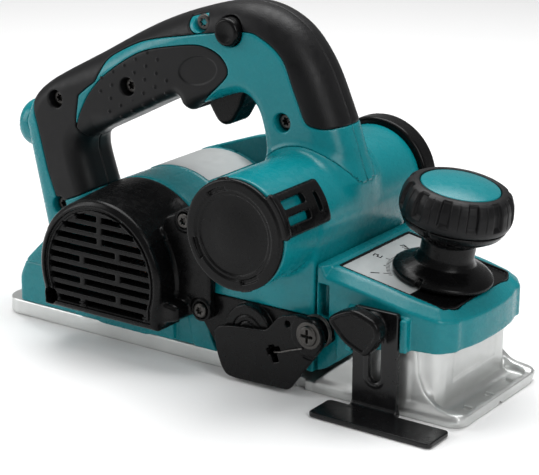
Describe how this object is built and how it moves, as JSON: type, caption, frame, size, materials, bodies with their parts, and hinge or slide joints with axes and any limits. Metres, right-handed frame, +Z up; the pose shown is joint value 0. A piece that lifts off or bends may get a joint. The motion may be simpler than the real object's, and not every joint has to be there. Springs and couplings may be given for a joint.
{
  "type": "electric hand planer",
  "caption": "Corded hand planer with a D handle, transverse motor and drum, belt drive, side chip duct, front depth knob, blade guard and rebate gauge.",
  "frame": {"origin": "on the sole plane, at mid-length and mid-width of the two soles", "axes": "+X towards the depth knob at the front, +Y towards the belt cover on the operator's left, +Z up from the sole"},
  "size_m": [0.3075, 0.1526, 0.1883],
  "materials": {
    "teal_plastic": "satin moulded plastic",
    "black_plastic": "satin moulded plastic",
    "grip_rubber": "fine matte texture",
    "cast_aluminium": "satin casting",
    "dark_steel": "blackened",
    "bright_steel": "ground",
    "black_painted_steel": "gloss black paint",
    "copper": "copper winding and segments",
    "brass": "turned",
    "carbon": "pressed carbon",
    "silver_label": "satin silver film"
  },
  "bodies": {
    "planer_body": {"main_housing": "teal_plastic", "rear_base": "cast_aluminium", "base_screws": "dark_steel", "front_shell": "teal_plastic", "dial_base": "black_plastic", "dial_plate": "silver_label", "gauge_insert": "brass", "handle_right": "teal_plastic", "handle_left": "teal_plastic", "grip_spine": "grip_rubber", "grip_lower": "grip_rubber", "handle_screws": "dark_steel", "cord_inlet": "teal_plastic", "switch_body": "black_plastic", "trigger_pin": "bright_steel", "chip_nozzle": "black_plastic", "vent_cover": "black_plastic", "vent_cover_screws": "dark_steel", "drum_side_plate": "black_plastic", "guard_pivot_screw": "dark_steel", "guard_spring": "dark_steel", "belt_cover": "black_plastic", "belt_cover_screws": "dark_steel", "drive_belt": "grip_rubber", "drum_bearings": "bright_steel", "motor_bearings": "bright_steel", "stator_core": "bright_steel", "field_coils": "copper", "brush_holders": "black_plastic", "carbon_brushes": "carbon", "rating_label": "silver_label"},
    "front_base": {"front_base": "cast_aluminium"},
    "depth_knob": {"knob_core": "black_plastic", "knob_grip": "grip_rubber", "knob_cap": "teal_plastic", "depth_screw": "bright_steel"},
    "cutter": {"cutter_drum": "cast_aluminium", "planer_blades": "bright_steel", "blade_clamps": "cast_aluminium", "blade_bolts": "dark_steel", "drum_pulley": "cast_aluminium"},
    "rotor": {"motor_shaft": "bright_steel", "armature_core": "bright_steel", "commutator": "copper", "cooling_fan": "black_plastic", "motor_pulley": "cast_aluminium"},
    "trigger": {"trigger": "black_plastic"},
    "lock_button": {"lock_button": "black_plastic"},
    "blade_guard": {"blade_guard": "black_plastic"},
    "rebate_gauge": {"rebate_gauge": "black_painted_steel"},
    "gauge_thumb_screw": {"gauge_thumb_screw": "black_plastic", "gauge_screw_stud": "bright_steel"},
    "chip_cover": {"chip_cover": "black_plastic"}
  },
  "joints": [
    {"name": "front_base_slide", "type": "slide", "parent": "planer_body", "child": "front_base", "axis": [0.1736, 0, 0.9848], "range_m": [0, 0.004]},
    {"name": "knob_turn", "type": "hinge", "parent": "planer_body", "child": "depth_knob", "pos_m": [0.1118, 0, 0.0615], "axis": [-0.1736, 0, -0.9848], "range_deg": [0, 144]},
    {"name": "drum_spin", "type": "hinge", "parent": "planer_body", "child": "cutter", "pos_m": [0.027, 0, 0.028], "axis": [0, 1, 0], "continuous": true},
    {"name": "rotor_spin", "type": "hinge", "parent": "planer_body", "child": "rotor", "pos_m": [-0.0585, 0, 0.045], "axis": [0, 1, 0], "continuous": true},
    {"name": "trigger_pull", "type": "hinge", "parent": "planer_body", "child": "trigger", "pos_m": [-0.0015, 0, 0.147], "axis": [0, 1, 0], "range_deg": [0, 11], "stiffness_Nm_per_rad": 0.4, "springref_deg": -20.05},
    {"name": "lock_button_push", "type": "slide", "parent": "planer_body", "child": "lock_button", "axis": [0, 1, 0], "range_m": [0, 0.0035], "stiffness_N_per_m": 400, "springref_m": -0.002},
    {"name": "guard_swing", "type": "hinge", "parent": "planer_body", "child": "blade_guard", "pos_m": [0.0677, 0, 0.0363], "axis": [0, 1, 0], "range_deg": [0, 25], "stiffness_Nm_per_rad": 0.15, "springref_deg": -28.65},
    {"name": "gauge_slide", "type": "slide", "parent": "planer_body", "child": "rebate_gauge", "axis": [0, 0, 1], "range_m": [0, 0.023]},
    {"name": "gauge_screw_turn", "type": "hinge", "parent": "planer_body", "child": "gauge_thumb_screw", "pos_m": [0.1018, 0, 0.047], "axis": [0, 1, 0], "range_deg": [0, 180]},
    {"name": "chip_cover_twist", "type": "hinge", "parent": "planer_body", "child": "chip_cover", "pos_m": [0.0385, 0, 0.089], "axis": [0, -1, 0], "range_deg": [0, 30]}
  ],
  "couplings": [
    {"joint": "knob_turn", "follows": "front_base_slide", "rad_per_m": 628.32},
    {"joint": "rotor_spin", "follows": "drum_spin", "ratio": 1.3333}
  ]
}
